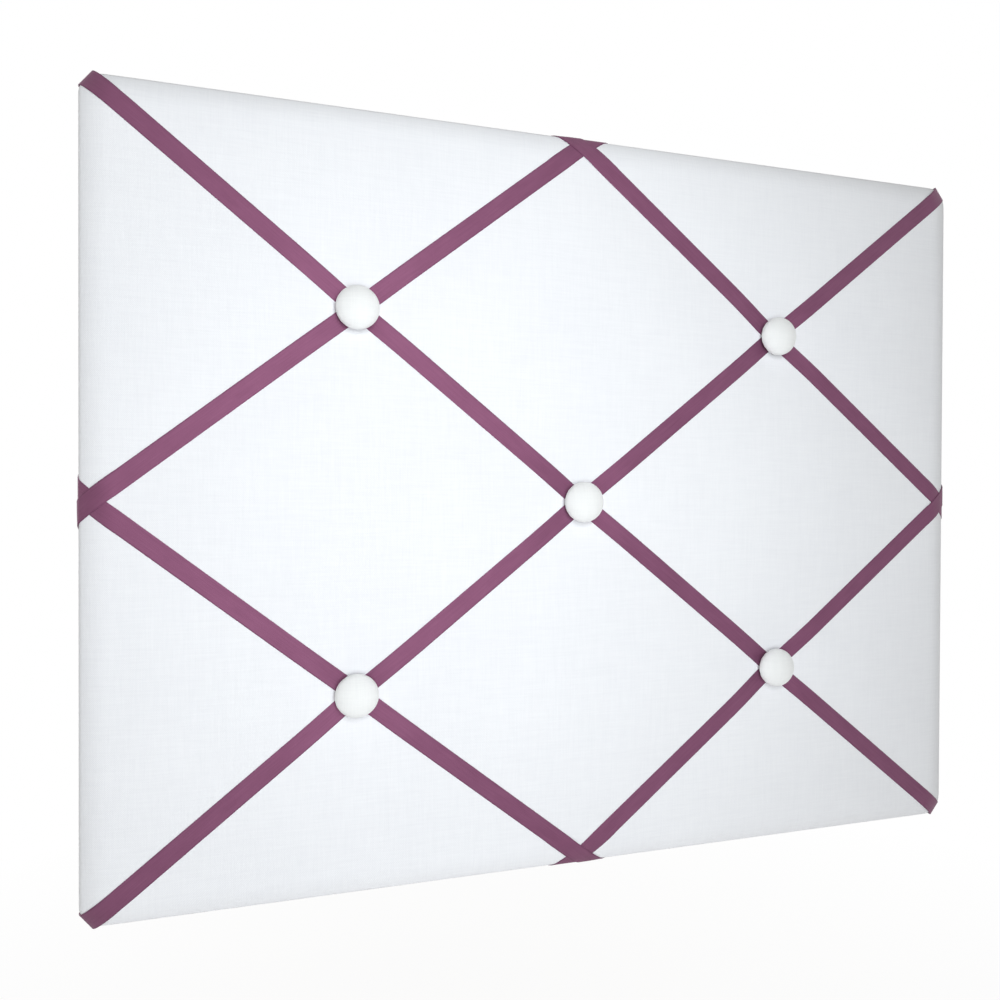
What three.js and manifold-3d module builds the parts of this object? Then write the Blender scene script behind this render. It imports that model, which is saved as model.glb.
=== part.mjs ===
// French memo board: a padded board in stretched fabric, crossed by a lattice of satin ribbon that five
// fabric-covered buttons hold down. Photos and notes tuck behind the ribbons.
// Millimetres, +Z up. The front faces -Y, and the origin is the middle of the back panel's rear face.

import * as THREE from 'three';
import { mergeVertices } from 'three/addons/utils/BufferGeometryUtils.js';
import Module from 'manifold-3d';

const wasm = await Module();
wasm.setup();

// Fit between pieces that lie on each other
const GAP = 0.3;

// Base board and the wadding over it
const BOARD_WIDTH = 493;
const BOARD_HEIGHT = 393;
const BOARD_THICKNESS = 6;
const BOARD_CORNER_RADIUS = 6;
const WADDING_FRONT = 9;
const WADDING_SIDE = 2.4;
const SHOULDER_WIDTH = 14;
const SHOULDER_LEAN = 28;
const EDGE_RADIUS = 2.6;
const CORNER_RADIUS = 9;
const BACK_EASE = 1.2;
const TUFT_DEPTH = 1.6;
const TUFT_RADIUS = 40;

// Fabric cover
const COVER_THICKNESS = 0.5;
const HEM_WIDTH = 20;

// Ribbon lattice: neighbours cross a little inside the edge, and every end is turned over to the back
const RIBBON_WIDTH = 9.5;
const RIBBON_THICKNESS = 0.5;
const RIBBON_TAIL = 46;
const EDGE_CROSSING = 5.5;

// Covered buttons: a fabric cap over a tin shell, closed by a back plate with a bridge for the tie
const BUTTON_RADIUS = 11;
const BUTTON_HEIGHT = 9;
const BUTTON_RIM_HEIGHT = 2.4;
const BUTTON_FABRIC = 0.5;
const BUTTON_LIP_RADIUS = 8;
const SHELL_THICKNESS = 0.5;
const PLATE_THICKNESS = 0.7;
const BRIDGE_WIDTH = 1;
const BRIDGE_HEIGHT = 0.8;

// Ties that draw the buttons down, knotted behind the board
const TIE_DIAMETER = 1.2;
const TIE_HOLE_RADIUS = 2.6;
const KNOT_RADIUS = 4.2;
const KNOT_THICKNESS = 1.6;

// Staples
const STAPLE_WIRE = 0.6;
const STAPLE_CROWN = 6.6;
const STAPLE_BITE = 4;
const TAIL_STAPLE_INSET = 9;
const PANEL_STAPLE_INSET = 12;
const PANEL_STAPLE_SINK = 0.1;
const PANEL_STAPLE_FROM_SIDE = 120;
const PANEL_STAPLE_FROM_LEVEL = 105;

// Back panel
const PANEL_THICKNESS = 2;
const PANEL_MARGIN = 12;
const PANEL_CORNER_RADIUS = 4;
const PANEL_PLAIN_MARGIN = 65;

// Hangers: a D-ring in a folded strap, screwed through the panel into the board
const HANGER_FROM_SIDE = 85;
const HANGER_FROM_TOP = 90;
const RING_WIRE = 2.4;
const RING_REACH = 13;
const RING_HALF_WIDTH = 7.5;
const RING_BEND = 2;
const STRAP_THICKNESS = 0.8;
const STRAP_WIDTH = 9.5;
const STRAP_LENGTH = 21;
const STRAP_KNEE = 5;
const SCREW_FROM_END = 6;
const SCREW_RADIUS = 1.6;
const SCREW_BITE = 4;
const SCREW_POINT = 1.5;
const SCREW_HEAD_RADIUS = 3.4;
const SCREW_HEAD_HEIGHT = 2.2;
const SCREW_SLOT_WIDTH = 0.9;
const SCREW_SLOT_DEPTH = 1.2;

// Facets
const CORNER_SEGMENTS = 3;
const TUFT_FACET = 24;
const BUTTON_SIDES = 14;
const DOME_STEPS = 5;
const SMALL_SIDES = 10;
const TIE_SIDES = 6;
const RING_SIDES = 12;
const RING_STEPS = 36;
const LOOP_SIDES = 16;
const SCREW_SIDES = 16;
const MERGE_TOLERANCE = 1e-4;

// Offsets outwards from the wadding, and from the board's rear face behind it
const COVER_INNER = GAP;
const COVER_OUTER = COVER_INNER + COVER_THICKNESS;
const RIBBON_INNER = COVER_OUTER + GAP;
const RIBBON_OUTER = RIBBON_INNER + RIBBON_THICKNESS;
const RIBBON_LIFT = RIBBON_THICKNESS + GAP;

// Depths, from the wall side to the front
const PANEL_FRONT_Y = -PANEL_THICKNESS;
const BOARD_BACK_Y = PANEL_FRONT_Y - (RIBBON_OUTER + GAP + STAPLE_WIRE + GAP);
const BOARD_FRONT_Y = BOARD_BACK_Y - BOARD_THICKNESS;
const PAD_RISE = GAP + WADDING_FRONT;

// Half sizes of the padded outline, and of the whole board with its cover
const PAD_X = BOARD_WIDTH / 2 + GAP + WADDING_SIDE;
const PAD_Z = BOARD_HEIGHT / 2 + GAP + WADDING_SIDE;
const OUTER_X = PAD_X + COVER_OUTER;
const OUTER_Z = PAD_Z + COVER_OUTER;

// The ring bars' places, and the half length of the plain face between the hangers
const SCREW_FROM_BAR = STRAP_LENGTH - SCREW_FROM_END;
const HANGER_X = OUTER_X - HANGER_FROM_SIDE;
const HANGER_Z = OUTER_Z - HANGER_FROM_TOP;
const PANEL_MIDDLE = HANGER_X - PANEL_PLAIN_MARGIN;

// Lattice: where ribbons cross at the middle of each edge, and the buttons between those crossings
const CROSSING_X = OUTER_X - EDGE_CROSSING;
const CROSSING_Z = OUTER_Z - EDGE_CROSSING;
const BUTTONS = [
  { name: 'center', x: 0, z: 0 },
  { name: 'top_left', x: -CROSSING_X / 2, z: CROSSING_Z / 2 },
  { name: 'top_right', x: CROSSING_X / 2, z: CROSSING_Z / 2 },
  { name: 'bottom_left', x: -CROSSING_X / 2, z: -CROSSING_Z / 2 },
  { name: 'bottom_right', x: CROSSING_X / 2, z: -CROSSING_Z / 2 },
];

// Finishes
function finish(color, roughness, metalness = 0) {
  return new THREE.MeshStandardMaterial({ color, roughness, metalness });
}
const FIBREBOARD = finish('#b08a5e', 0.85);
const WADDING = finish('#f4f3ee', 1);
const COTTON = finish('#eceef2', 0.9);
const SATIN = finish('#8e587e', 0.45);
const BUTTON_COTTON = finish('#f2f1ee', 0.85);
const TINPLATE = finish('#b9bbbd', 0.35, 1);
const TWINE = finish('#d9cfb8', 0.9);
const HARDBOARD = finish('#7d5a3c', 0.7);
const WIRE = finish('#a9abad', 0.35, 1);
const NICKEL = finish('#c4c3be', 0.3, 1);

// Booleans
function solidOf(geometry) {
  const plain = geometry.clone();
  plain.deleteAttribute('normal');
  plain.deleteAttribute('uv');
  const merged = mergeVertices(plain, MERGE_TOLERANCE);
  const vertProperties = Float32Array.from(merged.attributes.position.array);
  const triVerts = Uint32Array.from(merged.index.array);
  return new wasm.Manifold(new wasm.Mesh({ numProp: 3, vertProperties, triVerts }));
}

function geometryOf(solid) {
  const mesh = solid.getMesh();
  const geometry = new THREE.BufferGeometry();
  geometry.setAttribute('position', new THREE.BufferAttribute(Float32Array.from(mesh.vertProperties), 3));
  geometry.setIndex(Array.from(mesh.triVerts));
  geometry.computeVertexNormals();
  return geometry;
}

function cut(geometry, cutters) {
  let solid = solidOf(geometry);
  for (const cutter of cutters) solid = solid.subtract(solidOf(cutter));
  return geometryOf(solid);
}

// Shapes that several pieces share
function signedVolume(geometry) {
  const corner = [new THREE.Vector3(), new THREE.Vector3(), new THREE.Vector3()];
  let volume = 0;
  for (let i = 0; i < geometry.index.count; i += 3) {
    corner.forEach((v, k) => v.fromBufferAttribute(geometry.attributes.position, geometry.index.getX(i + k)));
    volume += corner[0].dot(corner[1].clone().cross(corner[2])) / 6;
  }
  return volume;
}

function facingOut(geometry) {
  if (signedVolume(geometry) < 0) geometry.setIndex(Array.from(geometry.index.array).reverse());
  geometry.computeVertexNormals();
  return geometry;
}

function indexed(points, triangles) {
  const geometry = new THREE.BufferGeometry().setFromPoints(points);
  geometry.setIndex(triangles);
  return facingOut(geometry);
}

// A solid through a row of matching sections, closed into a ring or capped at both ends
function loft(sections, ring = false) {
  const sides = sections[0].length;
  const triangles = [];
  const last = ring ? sections.length : sections.length - 1;
  for (let i = 0; i < last; i += 1) {
    const here = i * sides;
    const next = ((i + 1) % sections.length) * sides;
    for (let k = 0; k < sides; k += 1) {
      const turn = (k + 1) % sides;
      triangles.push(here + k, here + turn, next + turn, here + k, next + turn, next + k);
    }
  }
  const end = (sections.length - 1) * sides;
  for (let k = 1; k < sides - 1 && !ring; k += 1) {
    triangles.push(0, k + 1, k, end, end + k, end + k + 1);
  }
  return indexed(sections.flat(), triangles);
}

// A round wire along points that lie in one plane
function planarTube(points, radius, sides, planeNormal, ring = false) {
  const sections = points.map((point, i) => {
    const before = points[ring ? (i + points.length - 1) % points.length : Math.max(i - 1, 0)];
    const after = points[ring ? (i + 1) % points.length : Math.min(i + 1, points.length - 1)];
    const along = after.clone().sub(before).normalize();
    const across = along.clone().cross(planeNormal);
    return Array.from({ length: sides }, (_, k) => {
      const angle = (2 * Math.PI * (k + 0.5)) / sides;
      const out = across.clone().multiplyScalar(radius * Math.cos(angle));
      return out.addScaledVector(planeNormal, radius * Math.sin(angle)).add(point);
    });
  });
  return loft(sections, ring);
}

function roundedRectangle(halfX, halfZ, radius) {
  const shape = new THREE.Shape();
  shape.absarc(halfX - radius, halfZ - radius, radius, 0, Math.PI / 2);
  shape.absarc(radius - halfX, halfZ - radius, radius, Math.PI / 2, Math.PI);
  shape.absarc(radius - halfX, radius - halfZ, radius, Math.PI, 1.5 * Math.PI);
  shape.absarc(halfX - radius, radius - halfZ, radius, 1.5 * Math.PI, 2 * Math.PI);
  return shape;
}

// A flat piece whose outline is drawn in X and Z, between two depths
function slab(shape, frontY, backY) {
  const extent = { depth: backY - frontY, bevelEnabled: false, curveSegments: CORNER_SEGMENTS };
  const geometry = new THREE.ExtrudeGeometry(shape, extent);
  return geometry.rotateX(Math.PI / 2).translate(0, backY, 0);
}

function rodAlongY(radius, frontY, backY, x, z, sides = SMALL_SIDES) {
  const geometry = new THREE.CylinderGeometry(radius, radius, backY - frontY, sides);
  return geometry.translate(x, (frontY + backY) / 2, z);
}

function block(x0, x1, y0, y1, z0, z1) {
  const geometry = new THREE.BoxGeometry(x1 - x0, y1 - y0, z1 - z0);
  return geometry.translate((x0 + x1) / 2, (y0 + y1) / 2, (z0 + z1) / 2);
}

function revolve(profile, sides) {
  const geometry = new THREE.LatheGeometry(profile.map(([r, y]) => new THREE.Vector2(r, y)), sides);
  geometry.deleteAttribute('normal');
  geometry.deleteAttribute('uv');
  return facingOut(geometryOf(solidOf(facingOut(mergeVertices(geometry, MERGE_TOLERANCE)))));
}

// Section of the padding's edge at an offset from the wadding: a gentle fall, then a small round to the side
function shoulderSection(half, offset) {
  const lean = THREE.MathUtils.degToRad(SHOULDER_LEAN);
  const side = Math.PI / 2;
  const fallRadius = EDGE_RADIUS + (SHOULDER_WIDTH - EDGE_RADIUS) / Math.sin(lean);
  const fallCenter = PAD_RISE - fallRadius;
  const edgeCenter = fallCenter + (fallRadius - EDGE_RADIUS) * Math.cos(lean);
  const onFall = (angle) => ({
    out: half - SHOULDER_WIDTH + (fallRadius + offset) * Math.sin(angle),
    rise: fallCenter + (fallRadius + offset) * Math.cos(angle),
  });
  const onEdge = (angle) => ({
    out: half - EDGE_RADIUS + (EDGE_RADIUS + offset) * Math.sin(angle),
    rise: edgeCenter + (EDGE_RADIUS + offset) * Math.cos(angle),
  });
  return [onFall(0), onFall(lean / 2), onEdge(lean), onEdge((lean + side) / 2), onEdge(side)];
}

// Padded form: facet lines across the board, with the padding's share of its full height on each
function padLines(half, buttonAt, offset) {
  const flat = [0, TUFT_FACET, buttonAt - TUFT_FACET, buttonAt, buttonAt + TUFT_FACET];
  const shoulder = shoulderSection(half, offset);
  const lines = [
    ...flat.map((at) => ({ at, share: 1 })),
    ...shoulder.map(({ out, rise }) => ({ at: out, share: rise / (PAD_RISE + offset) })),
  ];
  const mirrored = lines.slice(1).reverse().map(({ at, share }) => ({ at: -at, share }));
  return [...mirrored, ...lines];
}

// How far the buttons draw the padding in
function tuftDepth(x, z) {
  const depths = BUTTONS.map((button) => {
    const reach = (Math.hypot(x - button.x, z - button.z) - BUTTON_RADIUS) / (TUFT_RADIUS - BUTTON_RADIUS);
    return TUFT_DEPTH * (1 - THREE.MathUtils.clamp(reach, 0, 1)) ** 2;
  });
  return Math.max(...depths);
}

// The outline's square corners, drawn in to arcs
function roundedPlace(x, z, offset) {
  const radius = CORNER_RADIUS + offset;
  const startX = PAD_X + offset - radius;
  const startZ = PAD_Z + offset - radius;
  const u = (Math.abs(x) - startX) / radius;
  const v = (Math.abs(z) - startZ) / radius;
  if (u <= 0 || v <= 0) return { x, z };
  return {
    x: Math.sign(x) * (startX + radius * u * Math.sqrt(1 - (v * v) / 2)),
    z: Math.sign(z) * (startZ + radius * v * Math.sqrt(1 - (u * u) / 2)),
  };
}

// The padded front face at an offset from the wadding, as a net of points
function padNet(offset) {
  const linesX = padLines(PAD_X, CROSSING_X / 2, offset);
  const linesZ = padLines(PAD_Z, CROSSING_Z / 2, offset);
  const points = linesX.map((lineX) => linesZ.map((lineZ) => {
    const place = roundedPlace(lineX.at, lineZ.at, offset);
    const rise = (PAD_RISE + offset) * lineX.share * lineZ.share;
    return new THREE.Vector3(place.x, BOARD_FRONT_Y - rise + tuftDepth(lineX.at, lineZ.at), place.z);
  }));
  return { linesX, linesZ, points };
}

// The point of the padded face over a place on the board
function padAt(x, z, offset) {
  const { linesX, linesZ, points } = padNet(offset);
  const cell = (lines, at) => {
    const found = lines.findIndex((line, i) => i > 0 && line.at >= at);
    const k = found < 0 ? lines.length - 1 : found;
    const share = (at - lines[k - 1].at) / (lines[k].at - lines[k - 1].at);
    return [k - 1, THREE.MathUtils.clamp(share, 0, 1)];
  };
  const [i, u] = cell(linesX, x);
  const [j, v] = cell(linesZ, z);
  const low = points[i][j].clone().lerp(points[i + 1][j], u);
  const high = points[i][j + 1].clone().lerp(points[i + 1][j + 1], u);
  return low.lerp(high, v);
}

// The padded form as a closed solid, straight down its sides to an eased back edge
function padBlock(offset) {
  const net = padNet(offset).points;
  const countX = net.length;
  const countZ = net[0].length;
  const id = (i, j) => i * countZ + j;
  const points = net.flat();
  const triangles = [];
  for (let i = 0; i < countX - 1; i += 1) {
    for (let j = 0; j < countZ - 1; j += 1) {
      triangles.push(id(i, j), id(i + 1, j), id(i + 1, j + 1), id(i, j), id(i + 1, j + 1), id(i, j + 1));
    }
  }
  const rim = [];
  for (let i = 0; i < countX - 1; i += 1) rim.push(id(i, 0));
  for (let j = 0; j < countZ - 1; j += 1) rim.push(id(countX - 1, j));
  for (let i = countX - 1; i > 0; i -= 1) rim.push(id(i, countZ - 1));
  for (let j = countZ - 1; j > 0; j -= 1) rim.push(id(0, j));
  const backY = BOARD_BACK_Y + offset;
  const rings = [{ ease: 0, y: backY - BACK_EASE }, { ease: BACK_EASE, y: backY }];
  let front = rim;
  for (const { ease, y } of rings) {
    const start = points.length;
    rim.forEach((k) => {
      const { x, z } = points[k];
      points.push(new THREE.Vector3(x * (1 - ease / PAD_X), y, z * (1 - ease / PAD_Z)));
    });
    const back = rim.map((_, k) => start + k);
    rim.forEach((_, a) => {
      const b = (a + 1) % rim.length;
      triangles.push(front[b], front[a], back[a], front[b], back[a], back[b]);
    });
    front = back;
  }
  const middle = points.push(new THREE.Vector3(0, backY, 0)) - 1;
  front.forEach((a, k) => triangles.push(front[(k + 1) % front.length], a, middle));
  return indexed(points, triangles);
}

// Ribbons: each is a strip of rows across it. A row gives its two ends at any offset from the wadding.
function rowOnPad(x, z, acrossX, acrossZ, lift) {
  const ends = (offset) => {
    const samples = [-0.5, 0, 0.5].map((share) => {
      const shift = share * RIBBON_WIDTH;
      return padAt(x + acrossX * shift, z + acrossZ * shift, offset).y;
    });
    const middle = padAt(x, z, offset);
    const y = Math.min(...samples);
    return [-0.5, 0.5].map((share) => {
      const shift = share * RIBBON_WIDTH;
      return new THREE.Vector3(middle.x + acrossX * shift, y, middle.z + acrossZ * shift);
    });
  };
  return { ends, lift };
}

// How far along itself a ribbon is lifted clear where it passes over another
const CROSSING_REACH = RIBBON_WIDTH * 0.75;
const CROSSING_RAMP = RIBBON_WIDTH * 0.9;
const ROW_SPACING = 0.6;

// Rows from one place on the padded face to another: where its middle and edges meet facet lines, and round each
// ribbon it passes over
function rowsBetween(from, to, crossings, margin) {
  const length = Math.hypot(to.x - from.x, to.z - from.z);
  const alongX = (to.x - from.x) / length;
  const alongZ = (to.z - from.z) / length;
  const { linesX, linesZ } = padNet(RIBBON_INNER);
  const stops = [-0.5, 0, 0.5].flatMap((share) => {
    const shift = share * RIBBON_WIDTH;
    return [
      ...linesX.map((line) => (line.at - from.x + alongZ * shift) / alongX),
      ...linesZ.map((line) => (line.at - from.z - alongX * shift) / alongZ),
    ];
  });
  const passes = crossings.map((place) => (place.x - from.x) * alongX + (place.z - from.z) * alongZ);
  const reach = CROSSING_REACH + CROSSING_RAMP + ROW_SPACING;
  const isClear = (stop) => passes.every((pass) => Math.abs(stop - pass) > reach);
  const kept = stops.filter((stop) => stop > margin && stop < length - margin && isClear(stop));
  const rows = kept.map((stop) => ({ stop, lift: 0 }));
  passes.forEach((pass) => {
    [-1, 1].forEach((side) => {
      rows.push({ stop: pass + side * CROSSING_REACH, lift: 1 });
      rows.push({ stop: pass + side * (CROSSING_REACH + CROSSING_RAMP), lift: 0 });
    });
  });
  rows.sort((a, b) => a.stop - b.stop);
  const spaced = rows.filter((row, i) => row.lift > 0 || i === 0 || row.stop - rows[i - 1].stop > ROW_SPACING);
  return spaced.map(({ stop, lift }) => (
    rowOnPad(from.x + alongX * stop, from.z + alongZ * stop, -alongZ, alongX, lift)
  ));
}

function ribbonSolid(rows) {
  return loft(rows.map(({ ends, lift }) => {
    const [innerA, innerB] = ends(RIBBON_INNER + lift * RIBBON_LIFT);
    const [outerA, outerB] = ends(RIBBON_OUTER + lift * RIBBON_LIFT);
    return [innerA, outerA, outerB, innerB];
  }));
}

// A long ribbon's turn over a corner of the board, from the front edge to its tail on the back
function cornerRows(signX, signZ, acrossX, acrossZ) {
  const diagonal = Math.hypot(PAD_X, PAD_Z);
  const outX = (signX * PAD_X) / diagonal;
  const outZ = (signZ * PAD_Z) / diagonal;
  const cornerAt = (offset) => padAt(signX * (PAD_X + offset), signZ * (PAD_Z + offset), offset);
  const row = (inset, depthOf) => {
    const ends = (offset) => {
      const corner = cornerAt(offset);
      const middleX = corner.x - outX * inset;
      const middleZ = corner.z - outZ * inset;
      return [-0.5, 0.5].map((share) => {
        const shift = share * RIBBON_WIDTH;
        return new THREE.Vector3(middleX + acrossX * shift, depthOf(offset), middleZ + acrossZ * shift);
      });
    };
    return { ends, lift: 0 };
  };
  const onBack = (offset) => BOARD_BACK_Y + offset;
  return [
    row(0, (offset) => cornerAt(offset).y),
    row(0, (offset) => onBack(offset) - BACK_EASE),
    row(BACK_EASE * Math.SQRT2, onBack),
    row(RIBBON_TAIL, onBack),
  ];
}

// A ribbon from corner to corner: rising to the right, or falling
function longRibbon(rise, passesOver) {
  const to = { x: PAD_X + RIBBON_INNER, z: rise * (PAD_Z + RIBBON_INNER) };
  const from = { x: -to.x, z: -to.z };
  const length = Math.hypot(to.x - from.x, to.z - from.z);
  const acrossX = -(to.z - from.z) / length;
  const acrossZ = (to.x - from.x) / length;
  const rows = rowsBetween(from, to, passesOver, 0);
  const start = cornerRows(-1, -rise, acrossX, acrossZ).reverse();
  const end = cornerRows(1, rise, acrossX, acrossZ);
  return [...start, ...rows, ...end];
}

// The section of the padded edge that a short ribbon follows: over the shoulder, down the side, to the back
function edgeSection(half, offset) {
  const shoulder = shoulderSection(half, offset).map(({ out, rise }) => ({ out, y: BOARD_FRONT_Y - rise }));
  const backY = BOARD_BACK_Y + offset;
  return [
    ...shoulder,
    { out: half + offset, y: backY - BACK_EASE },
    { out: half + offset - BACK_EASE, y: backY },
    { out: half + offset - RIBBON_TAIL, y: backY },
  ];
}

// Lengths along that section, measured from where two ribbons cross on it
function lengthsFromCrossing(half, crossing) {
  const section = edgeSection(half, RIBBON_INNER);
  const lengths = [0];
  for (let k = 1; k < section.length; k += 1) {
    const step = Math.hypot(section[k].out - section[k - 1].out, section[k].y - section[k - 1].y);
    lengths.push(lengths[k - 1] + step);
  }
  const next = section.findIndex((point) => point.out > crossing);
  const share = (crossing - section[next - 1].out) / (section[next].out - section[next - 1].out);
  const passed = lengths[next - 1] + share * (lengths[next] - lengths[next - 1]);
  return lengths.map((length) => length - passed);
}

// A short ribbon's turn over an edge. It keeps a straight course as the edge unrolls, so it drifts along it.
function edgeRows(edge, isOver) {
  const drift = lengthsFromCrossing(edge.half, edge.crossing).map((length) => length * edge.drift);
  const lastLifted = shoulderSection(edge.half, RIBBON_INNER).length - 1;
  return drift.map((middle, k) => {
    const ends = (offset) => {
      const { out, y } = edgeSection(edge.half, offset)[k];
      return [-0.5, 0.5].map((share) => edge.place(out, y, middle + share * edge.width));
    };
    const fade = k === 0 ? 0.8 : k <= lastLifted ? 1 : k === lastLifted + 1 ? 0.3 : 0;
    return { ends, lift: isOver ? fade : 0 };
  });
}

// A short ribbon from the middle of a side edge to the middle of the top or bottom edge
function shortRibbonEdges(signX, signZ) {
  const length = Math.hypot(CROSSING_X, CROSSING_Z);
  const side = {
    half: PAD_X,
    crossing: CROSSING_X,
    drift: -signZ * (CROSSING_Z / CROSSING_X),
    width: -signX * RIBBON_WIDTH * (length / CROSSING_X),
    place: (out, y, along) => new THREE.Vector3(signX * out, y, along),
  };
  const level = {
    half: PAD_Z,
    crossing: CROSSING_Z,
    drift: -signX * (CROSSING_X / CROSSING_Z),
    width: -signZ * RIBBON_WIDTH * (length / CROSSING_Z),
    place: (out, y, along) => new THREE.Vector3(along, y, signZ * out),
  };
  return { side, level };
}

function shortRibbon(signX, signZ, overAtSide) {
  const { side, level } = shortRibbonEdges(signX, signZ);
  const start = edgeRows(side, overAtSide);
  const end = edgeRows(level, !overAtSide);
  const middleOf = ({ ends }) => {
    const [a, b] = ends(RIBBON_INNER);
    return a.add(b).multiplyScalar(0.5);
  };
  const button = { x: (signX * CROSSING_X) / 2, z: (signZ * CROSSING_Z) / 2 };
  const rows = rowsBetween(middleOf(start[0]), middleOf(end[0]), [button], RIBBON_WIDTH);
  return [...start.reverse(), ...rows, ...end];
}

// Staples: a crown across, and two legs driven towards the front
function stapleGeometry(legs) {
  const half = STAPLE_CROWN / 2;
  const inside = half - STAPLE_WIRE;
  const outline = [
    [-half, 0], [-half, -legs], [-inside, -legs], [-inside, -STAPLE_WIRE],
    [inside, -STAPLE_WIRE], [inside, -legs], [half, -legs], [half, 0],
  ];
  const shape = new THREE.Shape(outline.map(([x, y]) => new THREE.Vector2(x, y)));
  const geometry = new THREE.ExtrudeGeometry(shape, { depth: STAPLE_WIRE, bevelEnabled: false });
  return geometry.translate(0, 0, -STAPLE_WIRE / 2);
}

// The room that a staple's legs take in what they are driven through
function stapleHoles(staple) {
  const matrix = new THREE.Matrix4().makeRotationY(staple.turn).setPosition(staple.x, staple.y, staple.z);
  const reach = STAPLE_WIRE / 2 + GAP;
  const middle = (STAPLE_CROWN - STAPLE_WIRE) / 2;
  return [-middle, middle].map((at) => (
    block(at - reach, at + reach, -staple.legs - GAP, GAP / 2, -reach, reach).applyMatrix4(matrix)
  ));
}

const turnToward = (x, z) => Math.atan2(-z, x);

// One staple through each ribbon tail, across the ribbon
const TAIL_STAPLE_Y = BOARD_BACK_Y + RIBBON_OUTER + GAP + STAPLE_WIRE;
const TAIL_STAPLE_LEGS = TAIL_STAPLE_Y - BOARD_BACK_Y + STAPLE_BITE;

function cornerStaple(signX, signZ) {
  const diagonal = Math.hypot(PAD_X, PAD_Z);
  const outX = (signX * PAD_X) / diagonal;
  const outZ = (signZ * PAD_Z) / diagonal;
  const corner = padAt(signX * (PAD_X + RIBBON_INNER), signZ * (PAD_Z + RIBBON_INNER), RIBBON_INNER);
  const inset = RIBBON_TAIL - TAIL_STAPLE_INSET;
  return {
    x: corner.x - outX * inset,
    y: TAIL_STAPLE_Y,
    z: corner.z - outZ * inset,
    turn: turnToward(-outZ, outX),
    legs: TAIL_STAPLE_LEGS,
  };
}

function edgeStaple(edge) {
  const lengths = lengthsFromCrossing(edge.half, edge.crossing);
  const length = lengths[lengths.length - 1] - TAIL_STAPLE_INSET;
  const out = edge.half + RIBBON_INNER - RIBBON_TAIL + TAIL_STAPLE_INSET;
  const at = edge.place(out, TAIL_STAPLE_Y, length * edge.drift);
  const before = edge.place(out + 1, TAIL_STAPLE_Y, (length - 1) * edge.drift);
  return {
    x: at.x,
    y: at.y,
    z: at.z,
    turn: turnToward(-(at.z - before.z), at.x - before.x),
    legs: TAIL_STAPLE_LEGS,
  };
}

// Panel staples, sunk flush: three along the top and bottom, two along each side
const PANEL_X = OUTER_X - PANEL_MARGIN;
const PANEL_Z = OUTER_Z - PANEL_MARGIN;
const PANEL_STAPLE_LEGS = -PANEL_STAPLE_SINK - BOARD_BACK_Y + STAPLE_BITE;

function panelStaples() {
  const staples = [];
  const place = (name, x, z, turn) => {
    staples.push({ name, x, y: -PANEL_STAPLE_SINK, z, turn, legs: PANEL_STAPLE_LEGS });
  };
  const column = OUTER_X - PANEL_STAPLE_FROM_SIDE;
  const row = OUTER_Z - PANEL_STAPLE_FROM_LEVEL;
  for (const [name, x] of Object.entries({ left: -column, middle: 0, right: column })) {
    place(`top_${name}`, x, PANEL_Z - PANEL_STAPLE_INSET, 0);
    place(`bottom_${name}`, x, PANEL_STAPLE_INSET - PANEL_Z, 0);
  }
  for (const [name, z] of Object.entries({ lower: -row, upper: row })) {
    place(`left_${name}`, PANEL_STAPLE_INSET - PANEL_X, z, Math.PI / 2);
    place(`right_${name}`, PANEL_X - PANEL_STAPLE_INSET, z, Math.PI / 2);
  }
  return staples;
}

function crownSeat(staple) {
  const matrix = new THREE.Matrix4().makeRotationY(staple.turn).setPosition(staple.x, staple.y, staple.z);
  const halfLength = STAPLE_CROWN / 2 + GAP;
  const halfWidth = STAPLE_WIRE / 2 + GAP;
  const deep = STAPLE_WIRE + GAP;
  return block(-halfLength, halfLength, -deep, 2 * GAP, -halfWidth, halfWidth).applyMatrix4(matrix);
}

// Covered buttons, drawn about the Y axis with the seat at y = 0 and the dome towards -Y
function domeProfile(inset) {
  const radius = BUTTON_RADIUS - inset;
  const rise = BUTTON_HEIGHT - BUTTON_RIM_HEIGHT - inset;
  return Array.from({ length: DOME_STEPS + 1 }, (_, step) => {
    const angle = (Math.PI / 2) * (1 - step / DOME_STEPS);
    const r = step === 0 ? 0 : radius * Math.cos(angle);
    return [r, -BUTTON_RIM_HEIGHT - rise * Math.sin(angle)];
  });
}

function buttonFabric() {
  const tuck = (inset) => [
    [BUTTON_RADIUS - inset - BUTTON_RIM_HEIGHT / 4, -inset - BUTTON_RIM_HEIGHT / 3],
    [BUTTON_RADIUS - inset - BUTTON_RIM_HEIGHT / 2, -inset],
    [BUTTON_LIP_RADIUS, -inset],
  ];
  const outside = [...domeProfile(0), ...tuck(0)];
  const inside = [...domeProfile(BUTTON_FABRIC), ...tuck(BUTTON_FABRIC)];
  return revolve([...outside, ...inside.reverse()], BUTTON_SIDES);
}

function buttonShell() {
  const inset = BUTTON_FABRIC + GAP;
  return revolve([...domeProfile(inset), ...domeProfile(inset + SHELL_THICKNESS).reverse()], BUTTON_SIDES);
}

const PLATE_BACK_Y = -BUTTON_FABRIC - GAP;
const PLATE_FRONT_Y = PLATE_BACK_Y - PLATE_THICKNESS;
const PLATE_RADIUS = BUTTON_RADIUS - BUTTON_FABRIC - BUTTON_RIM_HEIGHT / 2 - GAP;

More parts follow.
